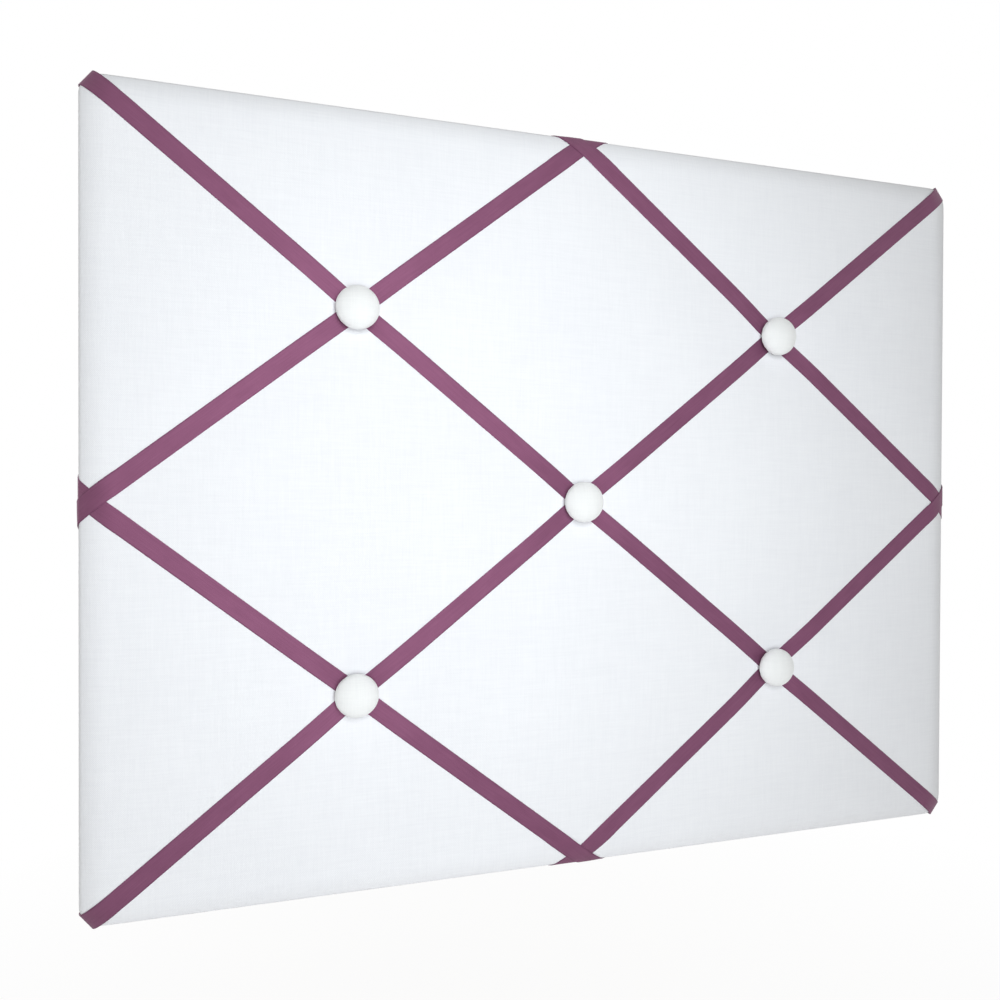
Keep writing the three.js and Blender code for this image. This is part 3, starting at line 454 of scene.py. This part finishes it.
COTTON = plain_weave("cover_cotton", srgb(240, 241, 246), srgb(248, 249, 253), roughness=0.9, sheen=0.2)
BUTTON_COTTON = plain_weave("button_cotton", srgb(240, 241, 242), srgb(249, 250, 250),
                            roughness=0.85, sheen=0.5)
SATIN = satin_ribbon("ribbon_satin")
WADDING = fibre_wadding("wadding_fibre")
FIBREBOARD = pressed_board("fibreboard", srgb(150, 115, 76), srgb(176, 138, 94), srgb(196, 160, 116),
                           roughness=0.85, grain=420)
HARDBOARD = pressed_board("hardboard", srgb(98, 68, 44), srgb(122, 88, 59), srgb(144, 108, 76),
                          roughness=0.6, grain=520)
TINPLATE = metal("tinplate", (0.62, 0.62, 0.63), roughness=0.32, wear=0.15)
STEEL_WIRE = metal("staple_wire", (0.55, 0.56, 0.57), roughness=0.35, wear=0.2)
NICKEL = metal("nickel_plate", (0.66, 0.64, 0.6), roughness=0.24, wear=0.12)
TWINE = twine("twine")

# Finishes of the solids that show as they are
WELD_DISTANCE = 1e-6
SMOOTH_ANGLE = math.radians(38)


def dress(prefixes, material, round_edges=False):
    """Gives solids of the frame a finish. Round ones are shaded smooth across their facets."""
    for name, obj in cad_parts.items():
        if not name.startswith(prefixes):
            continue
        obj.data.materials.clear()
        obj.data.materials.append(material)
        if round_edges:
            obj.data.polygons.foreach_set("use_smooth", [True] * len(obj.data.polygons))
            weld = obj.modifiers.new("weld", "WELD")
            weld.merge_threshold = WELD_DISTANCE
            split = obj.modifiers.new("split", "EDGE_SPLIT")
            split.split_angle = SMOOTH_ANGLE


def finish_piece(obj, material, slot, *nodes):
    obj.data.materials.clear()
    obj.data.materials.append(material)
    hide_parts(*nodes)
    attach(obj, "board")


# Fabric cover: held by its hem, the ribbons and the buttons, and swelled by the wadding between them
COVER_THICKNESS = 0.5
COVER_SPACING = 5.0
COVER_SIDE_STEPS = 3
HEM = 20.0
HEM_STEPS = 4
HELD_BY_RIBBON = RIBBON_WIDTH / 2 + 1.5
HELD_BY_BUTTON = BUTTON_RADIUS + 2
SWELL_LIMIT = 3.0
SWELL_SLOPE = 0.14
SWELL_FRAMES = 20
CLOTH_SETTINGS = {
    "quality": 6,
    "mass": 0.15,
    "tension_stiffness": 20,
    "compression_stiffness": 20,
    "shear_stiffness": 8,
    "bending_stiffness": 0.6,
    "air_damping": 2,
    "use_pressure": True,
    "uniform_pressure_force": 8,
}


def is_held(x, z):
    on_flat = abs(x) < PAD_X - SHOULDER and abs(z) < PAD_Z - SHOULDER
    from_button = min(math.hypot(x - bx, z - bz) for bx, bz, _ in BUTTON_PLACES.values())
    return not on_flat or from_lattice(x, z) < HELD_BY_RIBBON or from_button < HELD_BY_BUTTON


def swell(cover, points, front_count):
    """Swells the cover as cloth under pressure, then limits how far and how steeply it stands out."""
    held = [k for k, (x, _, z) in enumerate(points) if k >= front_count or is_held(x, z)]
    cover.vertex_groups.new(name="held").add(held, 1.0, "REPLACE")
    cloth = cover.modifiers.new("cloth", "CLOTH")
    for key, value in CLOTH_SETTINGS.items():
        setattr(cloth.settings, key, value)
    cloth.settings.vertex_group_mass = "held"
    cloth.settings.effector_weights.gravity = 0
    cloth.point_cache.frame_start, cloth.point_cache.frame_end = 1, SWELL_FRAMES
    for number in range(1, SWELL_FRAMES + 1):
        scene.frame_set(number)
    swelled = cover.evaluated_get(bpy.context.evaluated_depsgraph_get()).data
    moved = np.zeros(len(points) * 3)
    swelled.vertices.foreach_get("co", moved)
    rest = np.array(points)
    step = moved.reshape(-1, 3) / MM - rest
    reach = np.array([from_lattice(x, z) - HELD_BY_RIBBON for x, _, z in points])
    most = np.clip(SWELL_SLOPE * reach, 0, SWELL_LIMIT)
    step *= np.minimum(1, most / np.maximum(np.linalg.norm(step, axis=1), 1e-9))[:, None]
    cover.modifiers.clear()
    cover.vertex_groups.clear()
    cover.data.vertices.foreach_set("co", ((rest + step) * MM).ravel())
    scene.frame_set(1)


def make_cover():
    back = BOARD_BACK_Y + COVER_OFFSET
    depth = back - BACK_EASE - BOARD_FRONT_Y
    rings = [(0, BOARD_FRONT_Y + depth * k / COVER_SIDE_STEPS) for k in range(COVER_SIDE_STEPS + 1)]
    rings += [(BACK_EASE * EASE_SHARE, back - BACK_EASE * EASE_SHARE), (BACK_EASE, back)]
    rings += [(HEM * k / HEM_STEPS, back) for k in range(1, HEM_STEPS + 1)]
    points, faces, front_count, _ = padded_shell(COVER_OFFSET, COVER_SPACING, rings)
    cover = mesh_object("cover", points, faces)
    swell(cover, points, front_count)
    cover.data.update()
    thicken(cover, COVER_THICKNESS)
    finish_piece(cover, COTTON, "cover_cotton", "fabric_cover")
    around = (FALL_RADIUS + COVER_OFFSET) * LEAN + (EDGE_RADIUS + COVER_OFFSET) * (math.pi / 2 - LEAN)
    around += EDGE_CENTER + BOARD_BACK_Y - BOARD_FRONT_Y + HEM - SHOULDER


# Wadding: a tray of fibre over the board's face and edges
WADDING_SPACING = 9.0
WADDING_INSET = 0.35
WADDING_EASE = 0.8
WADDING_FROM_BACK = 0.2
WADDING_FROM_SIDE = 0.4


def make_wadding():
    back = BOARD_BACK_Y - WADDING_FROM_BACK
    wall = PAD_X - BOARD_X - WADDING_FROM_SIDE
    rings = [(0, (BOARD_FRONT_Y + back) / 2), (0, back - WADDING_EASE), (WADDING_EASE, back)]
    rings += [(wall, back), (wall, BOARD_FRONT_Y - WADDING_INSET)]
    points, faces, _, last = padded_shell(-WADDING_INSET, WADDING_SPACING, rings)
    faces.append(tuple(reversed(last)))
    wadding = mesh_object("wadding_pad", points, faces)
    finish_piece(wadding, WADDING, "wadding", "wadding")


# Ribbons. A row across a ribbon gives the point at a place across it and a height over the wadding, and how
# far along the ribbon that point lies. The section has a small bead along each edge: its places across are in
# ribbon widths, and its heights in thicknesses.
SECTION = [
    (-0.5, 0.0), (-0.5, 0.72), (-0.46, 1.12), (-0.4, 1.0), (-0.22, 1.0), (0.0, 1.0),
    (0.22, 1.0), (0.4, 1.0), (0.46, 1.12), (0.5, 0.72), (0.5, 0.0), (0.22, 0.0), (-0.22, 0.0),
]
PLACES_ACROSS = [RIBBON_WIDTH / 2 * k for k in (-1, -0.5, 0, 0.5, 1)]
SHARP_ANGLE = math.radians(70)
CROSSING_REACH = 0.75 * RIBBON_WIDTH
CROSSING_RAMP = 1.1 * RIBBON_WIDTH


def lift_at(along, crossings):
    """1 where a ribbon lies on another, falling to 0 beside it."""
    return max([1 - smooth((abs(along - at) - CROSSING_REACH) / CROSSING_RAMP) for at in crossings] + [0.0])


def flat_row(from_x, from_z, dir_x, dir_z, along, shear, flatten=0.0):
    """A row on the padded face. flatten holds it straight across, as over a corner."""
    def at(across, height):
        here = along + across * shear
        cx, cz = from_x + dir_x * here, from_z + dir_z * here
        x, z = cx - dir_z * across, cz + dir_x * across
        y = pad_y(x, z, height)
        if flatten > 0:
            foremost = min(pad_y(cx - dir_z * place, cz + dir_x * place, height) for place in PLACES_ACROSS)
            y += flatten * (foremost - y)
            mx, mz = corner_place(cx, cz, height)
            x, z = mx - dir_z * across, mz + dir_x * across
        return (x, y, z), here
    return at


# Long ribbons: close rows near their ends, where they are held straight, then over the corners to the back
END_ROWS = 50
END_SPACING = 0.6
END_REACH = END_ROWS * END_SPACING
MIDDLE_ROWS = 240
STRAIGHT_REACH = 24.0
STRAIGHT_RAMP = 10.0
CORNER_SIDE_ROWS = 3
CORNER_TAIL_ROWS = 7
CORNER_SIDE_LENGTH = 7.0
CORNER_TURN_LENGTH = 8.0


def corner_y(height):
    return pad_y(PAD_X + height, PAD_Z + height, height)


def corner_rows(sign_x, sign_z, dir_x, dir_z, start, sense):
    """A long ribbon's turn over a corner: down the side and in over the back."""
    back = BOARD_BACK_Y
    ease = BACK_EASE * math.sqrt(2)
    size = math.hypot(PAD_X, PAD_Z)
    out_x, out_z = sign_x * PAD_X / size, sign_z * PAD_Z / size

    def row(inset, y_of, length):
        def at(across, height):
            cx, cz = corner_place(sign_x * (PAD_X + height), sign_z * (PAD_Z + height), height)
            x, z = cx - out_x * inset - dir_z * across, cz - out_z * inset + dir_x * across
            return (x, y_of(height), z), start + sense * length
        return at

    def on_side(down):
        return lambda height: corner_y(height) + down * (back + height - BACK_EASE - corner_y(height))

    rows = []
    for k in range(CORNER_SIDE_ROWS + 1):
        down = k / CORNER_SIDE_ROWS
        rows.append(row(0, on_side(down), CORNER_SIDE_LENGTH * down))
    eased = BACK_EASE * EASE_SHARE
    rows.append(row(ease * EASE_SHARE, lambda height: back + height - eased, CORNER_SIDE_LENGTH))
    for k in range(CORNER_TAIL_ROWS + 1):
        inset = ease + (RIBBON_TAIL - ease) * k / CORNER_TAIL_ROWS
        rows.append(row(inset, lambda height: back + height, CORNER_TURN_LENGTH + inset))
    return rows


def long_ribbon(rise, crossings):
    """Rows from corner to corner, rising or falling to the right, and where the ribbon lies on others."""
    end_x, end_z = PAD_X + RIBBON_BASE, rise * (PAD_Z + RIBBON_BASE)
    length = 2 * math.hypot(end_x, end_z)
    dir_x, dir_z = 2 * end_x / length, 2 * end_z / length
    ends = [k * END_SPACING for k in range(END_ROWS)]
    middle = length - 2 * END_REACH
    stops = ends + [END_REACH + middle * k / MIDDLE_ROWS for k in range(MIDDLE_ROWS + 1)]
    stops += [length - stop for stop in reversed(ends)]
    rows = []
    for stop in stops:
        straight = smooth((STRAIGHT_REACH - min(stop, length - stop)) / STRAIGHT_RAMP)
        rows.append(flat_row(-end_x, -end_z, dir_x, dir_z, stop, 0.0, straight))
    start = corner_rows(-1, -rise, dir_x, dir_z, 0.0, -1)
    end = corner_rows(1, rise, dir_x, dir_z, length, 1)
    return list(reversed(start)) + rows + end, [c * length for c in crossings]


# Short ribbons: rows turn from square to along the edge, and the ends go over the edges to the back
ROW_SPACING = 2.2
TURN_REACH = 26.0
EDGE_SIDE_STEPS = 4
EDGE_TAIL_STEPS = 12


def edge_section(half, offset):
    """Section of the padded edge: over the shoulder, down the side and in over the back."""
    section = [(out, BOARD_FRONT_Y - rise) for out, rise in shoulder_points(half, offset)]
    side, top, back = half + offset, section[-1][1], BOARD_BACK_Y + offset
    depth, tail = back - BACK_EASE - top, RIBBON_TAIL - BACK_EASE
    eased = BACK_EASE * EASE_SHARE
    section += [(side, top + depth * k / EDGE_SIDE_STEPS) for k in range(1, EDGE_SIDE_STEPS + 1)]
    section.append((side - eased, back - eased))
    section += [(side - BACK_EASE - tail * k / EDGE_TAIL_STEPS, back) for k in range(EDGE_TAIL_STEPS + 1)]
    return section


def lengths_from_crossing(half, crossing):
    """Lengths along the edge's section, from the place where neighbouring ribbons cross."""
    section = edge_section(half, RIBBON_BASE)
    lengths = [0.0]
    for (o0, y0), (o1, y1) in zip(section, section[1:]):
        lengths.append(lengths[-1] + math.hypot(o1 - o0, y1 - y0))
    k = next(i for i, (out, _) in enumerate(section) if out > crossing)
    part = (crossing - section[k - 1][0]) / (section[k][0] - section[k - 1][0])
    passed = lengths[k - 1] + part * (lengths[k] - lengths[k - 1])
    return [length - passed for length in lengths]


def edge_rows(half, crossing, dir_out, dir_along, skew, place, start, sense):
    """A short ribbon's turn over an edge. Rows lie along the edge, and the unrolled ribbon is straight."""
    rows = []
    for k, length in enumerate(lengths_from_crossing(half, crossing)):
        def at(across, height, k=k, length=length):
            out, y = edge_section(half, height)[k]
            shift = length * dir_along / dir_out + across * skew / dir_out
            here = length * dir_out + shift * dir_along
            return place(out, y, shift), start + sense * here
        rows.append(at)
    return rows


def short_ribbon(sign_x, sign_z, over_at_side):
    """Rows from the middle of a side to the middle of a level edge, and where the ribbon lies on others."""
    length = math.hypot(CROSSING_X, CROSSING_Z)
    ex, ez = CROSSING_X / length, CROSSING_Z / length
    side = edge_rows(PAD_X, CROSSING_X, ex, -sign_z * ez, -sign_x,
                     lambda out, y, shift: (sign_x * out, y, shift), 0.0, -1)
    level = edge_rows(PAD_Z, CROSSING_Z, ez, -sign_x * ex, -sign_z,
                      lambda out, y, shift: (shift, y, sign_z * out), length, 1)
    first, last = side[0](0.0, RIBBON_BASE)[1], level[0](0.0, RIBBON_BASE)[1]
    shear_first = side[0](1.0, RIBBON_BASE)[1] - first
    shear_last = level[0](1.0, RIBBON_BASE)[1] - last
    rows = []
    count = round((last - first) / ROW_SPACING)
    for k in range(1, count):
        along = first + (last - first) * k / count
        shear = shear_first * (1 - smooth((along - first) / TURN_REACH))
        shear += shear_last * (1 - smooth((last - along) / TURN_REACH))
        rows.append(flat_row(sign_x * CROSSING_X, 0.0, -sign_x * ex, sign_z * ez, along, shear))
    crossings = [0.0 if over_at_side else length, length / 2]
    return list(reversed(side)) + rows + level, crossings


def make_ribbon(name, rows, crossings):
    points, places, faces = [], [], []
    count = len(SECTION)
    for row in rows:
        for part, rise in SECTION:
            across = part * RIBBON_WIDTH
            _, along = row(across, RIBBON_BASE)
            height = RIBBON_BASE + lift_at(along, crossings) * RIBBON_LIFT + rise * RIBBON_THICKNESS
            point, along = row(across, height)
            points.append(point)
            places.append((across, along, 0.0))
    for i in range(len(rows) - 1):
        for k in range(count):
            n = (k + 1) % count
            faces.append((i * count + k, (i + 1) * count + k, (i + 1) * count + n, i * count + n))
    last = (len(rows) - 1) * count
    faces.append(tuple(range(count)))
    faces.append(tuple(last + k for k in reversed(range(count))))
    ribbon = mesh_object(name + "_strip", points, faces)
    attribute = ribbon.data.attributes.new("ribbon_place", "FLOAT_VECTOR", "POINT")
    attribute.data.foreach_set("vector", np.array(places, np.float32).ravel())
    split = ribbon.modifiers.new("split", "EDGE_SPLIT")
    split.split_angle = SHARP_ANGLE
    finish_piece(ribbon, SATIN, "ribbon_satin", name)


# Covered buttons: a disc of fabric over the shell, gathered where it is tucked in under the rim. The tuck is
# in insets from the button's radius, shares of the rim's height, and shares of the full gathers.
CAP_THICKNESS = 0.5
CAP_RIM = 2.6
CAP_LIP_RADIUS = 8.0
CAP_TUCK = [(0.12, 0.62, 0.25), (0.6, 0.28, 0.6), (1.3, 0.06, 0.9), (2.2, 0.0, 1.0)]
CAP_LIP_GATHER = 0.6
CAP_SIDES = 72
CAP_STEPS = 14
PLEATS = 18
UNEVEN_PLEATS = 13
UNEVEN_SHARE = 0.5
UNEVEN_TURN = 2.1
PLEAT_DEPTH = 0.16
PLEAT_TURN = 1.3


def make_button(name, seed):
    x, z, seat = BUTTON_PLACES[name]
    height = seat - box_mm("button_fabric_" + name)[0][1]
    profile = []
    for k in range(1, CAP_STEPS + 1):
        angle = math.pi / 2 * k / CAP_STEPS
        y = -CAP_RIM - (height - CAP_RIM) * math.cos(angle)
        profile.append((BUTTON_RADIUS * math.sin(angle), y, 0.0))
    profile += [(BUTTON_RADIUS - inset, -CAP_RIM * part, gather) for inset, part, gather in CAP_TUCK]
    profile.append((CAP_LIP_RADIUS, 0.0, CAP_LIP_GATHER))
    points = [(x, seat - height, z)]
    faces = []
    for ring, (radius, y, gather) in enumerate(profile):
        for k in range(CAP_SIDES):
            angle = 2 * math.pi * k / CAP_SIDES
            wave = math.sin(PLEATS * angle + seed)
            wave += UNEVEN_SHARE * math.sin(UNEVEN_PLEATS * angle + UNEVEN_TURN * seed)
            r = radius + PLEAT_DEPTH * gather * wave
            points.append((x + r * math.cos(angle), seat + y, z + r * math.sin(angle)))
        here = 1 + ring * CAP_SIDES
        for k in range(CAP_SIDES):
            n = (k + 1) % CAP_SIDES
            if ring == 0:
                faces.append((0, here + k, here + n))
            else:
                faces.append((here - CAP_SIDES + k, here + k, here + n, here - CAP_SIDES + n))
    cap = mesh_object("button_cap_" + name, points, faces)
    thicken(cap, CAP_THICKNESS)
    finish_piece(cap, BUTTON_COTTON, "button_cotton", "button_fabric_" + name)


dress(("base_board",), FIBREBOARD)
dress(("back_panel",), HARDBOARD)
dress(("button_shell", "button_plate"), TINPLATE, True)
dress(("button_tie",), TWINE, True)
dress(("tail_staple", "panel_staple"), STEEL_WIRE)
dress(("hanger",), NICKEL, True)
make_cover()
make_wadding()
make_ribbon("ribbon_falling", *long_ribbon(-1, []))
make_ribbon("ribbon_rising", *long_ribbon(1, [0.5]))
for level, sign_z in (("top", 1), ("bottom", -1)):
    for side, sign_x in (("left", -1), ("right", 1)):
        make_ribbon(f"ribbon_{level}_{side}", *short_ribbon(sign_x, sign_z, sign_x != sign_z))
for number, button in enumerate(BUTTON_NAMES):
    make_button(button, PLEAT_TURN * number)


# Camera at the photograph's viewpoint: place in millimetres, turns in degrees, focal length in picture widths
CAMERA_PLACE = (-165.8, -425.3, 4.6)
CAMERA_YAW = -16.383
CAMERA_PITCH = -0.483
CAMERA_ROLL = 0.209
FOCAL_LENGTH = 0.7935
SENSOR_WIDTH = 36


def make_camera():
    data = bpy.data.cameras.new("camera")
    camera = bpy.data.objects.new("camera", data)
    scene.collection.objects.link(camera)
    data.sensor_width = SENSOR_WIDTH
    data.lens = FOCAL_LENGTH * SENSOR_WIDTH
    data.clip_start, data.clip_end = 0.01, 100
    turn = Matrix.Rotation(math.radians(CAMERA_YAW), 4, "Z")
    tilt = Matrix.Rotation(math.radians(90 + CAMERA_PITCH), 4, "X")
    roll = Matrix.Rotation(math.radians(CAMERA_ROLL), 4, "Z")
    camera.matrix_world = Matrix.Translation(Vector(CAMERA_PLACE) * MM) @ turn @ tilt @ roll
    scene.camera = camera


# Studio, in metres: a white floor that keeps the shadow, soft warm fill, a tall cool key and two rear lamps
FLOOR_REACH = 30
FLOOR_LEVEL = -0.6
FLOOR_COLOR = (0.9, 0.9, 0.9)
FLOOR_ROUGHNESS = 0.9
SHADOW_SCALE = (0.75, 0.75, 0.75)
SHADOW_STOPS = [(0.0, (1, 1, 1)), (0.5, (0.85, 0.85, 0.85))]
FILL_COLOR = (1.0, 0.94, 0.84, 1)
FILL_STRENGTH = 0.2
WHITE = (1, 1, 1, 1)


def background_share(tree):
    """1 where a ray should see the plain white background."""
    path = node(tree, "ShaderNodeLightPath")
    seen = math_node(tree, "MAXIMUM", path.outputs["Is Camera Ray"], path.outputs["Is Glossy Ray"])
    return math_node(tree, "MAXIMUM", seen, path.outputs["Is Transmission Ray"])


def make_floor():
    mesh = bpy.data.meshes.new("floor")
    signs = [(-1, -1), (1, -1), (1, 1), (-1, 1)]
    corners = [(x * FLOOR_REACH, y * FLOOR_REACH, FLOOR_LEVEL) for x, y in signs]
    mesh.from_pydata(corners, [], [(0, 1, 2, 3)])
    floor = bpy.data.objects.new("floor", mesh)
    scene.collection.objects.link(floor)
    material, tree, shader = new_material("floor_white", FLOOR_COLOR, FLOOR_ROUGHNESS)
    glow = node(tree, "ShaderNodeEmission", {"Color": WHITE, "Strength": 1.0})
    place = {"Vector": coordinates(tree, SHADOW_SCALE)}
    near = node(tree, "ShaderNodeTexGradient", place, gradient_type="SPHERICAL").outputs["Fac"]
    seen = math_node(tree, "MULTIPLY", background_share(tree), ramp(tree, near, SHADOW_STOPS))
    mix = node(tree, "ShaderNodeMixShader", {"Fac": seen, 1: shader.outputs[0], 2: glow.outputs[0]})
    tree.links.new(mix.outputs[0], tree.nodes["Material Output"].inputs["Surface"])
    mesh.materials.append(material)
    floor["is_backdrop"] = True


def make_world():
    world = bpy.data.worlds.new("studio")
    scene.world = world
    world.use_nodes = True
    tree = world.node_tree
    fill = tree.nodes["Background"]
    fill.inputs["Color"].default_value = FILL_COLOR
    fill.inputs["Strength"].default_value = FILL_STRENGTH
    white = node(tree, "ShaderNodeBackground", {"Color": WHITE, "Strength": 1.0})
    seen = background_share(tree)
    mix = node(tree, "ShaderNodeMixShader", {"Fac": seen, 1: fill.outputs[0], 2: white.outputs[0]})
    tree.links.new(mix.outputs[0], tree.nodes["World Output"].inputs["Surface"])


def area_light(name, place, target, width, height, power, color=(1, 1, 1)):
    data = bpy.data.lights.new(name, "AREA")
    data.shape = "RECTANGLE"
    data.size, data.size_y = width, height
    data.energy = power
    data.color = color
    light = bpy.data.objects.new(name, data)
    scene.collection.objects.link(light)
    light.location = place
    light.rotation_euler = (Vector(target) - Vector(place)).to_track_quat("-Z", "Y").to_euler()


make_camera()
make_floor()
make_world()
area_light("key", place=(-0.09, -0.58, 0.05), target=(-0.06, 0, 0.02), width=0.2, height=0.6, power=3.15,
           color=(0.935, 0.978, 1.0))
for side, sign_x in (("left", -1), ("right", 1)):
    area_light("back_" + side, place=(sign_x * 1.1, 1.0, 0.55), target=(0, 0, 0), width=0.8, height=0.8,
               power=12.0)
scene.view_settings.view_transform = "Standard"

low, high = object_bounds()
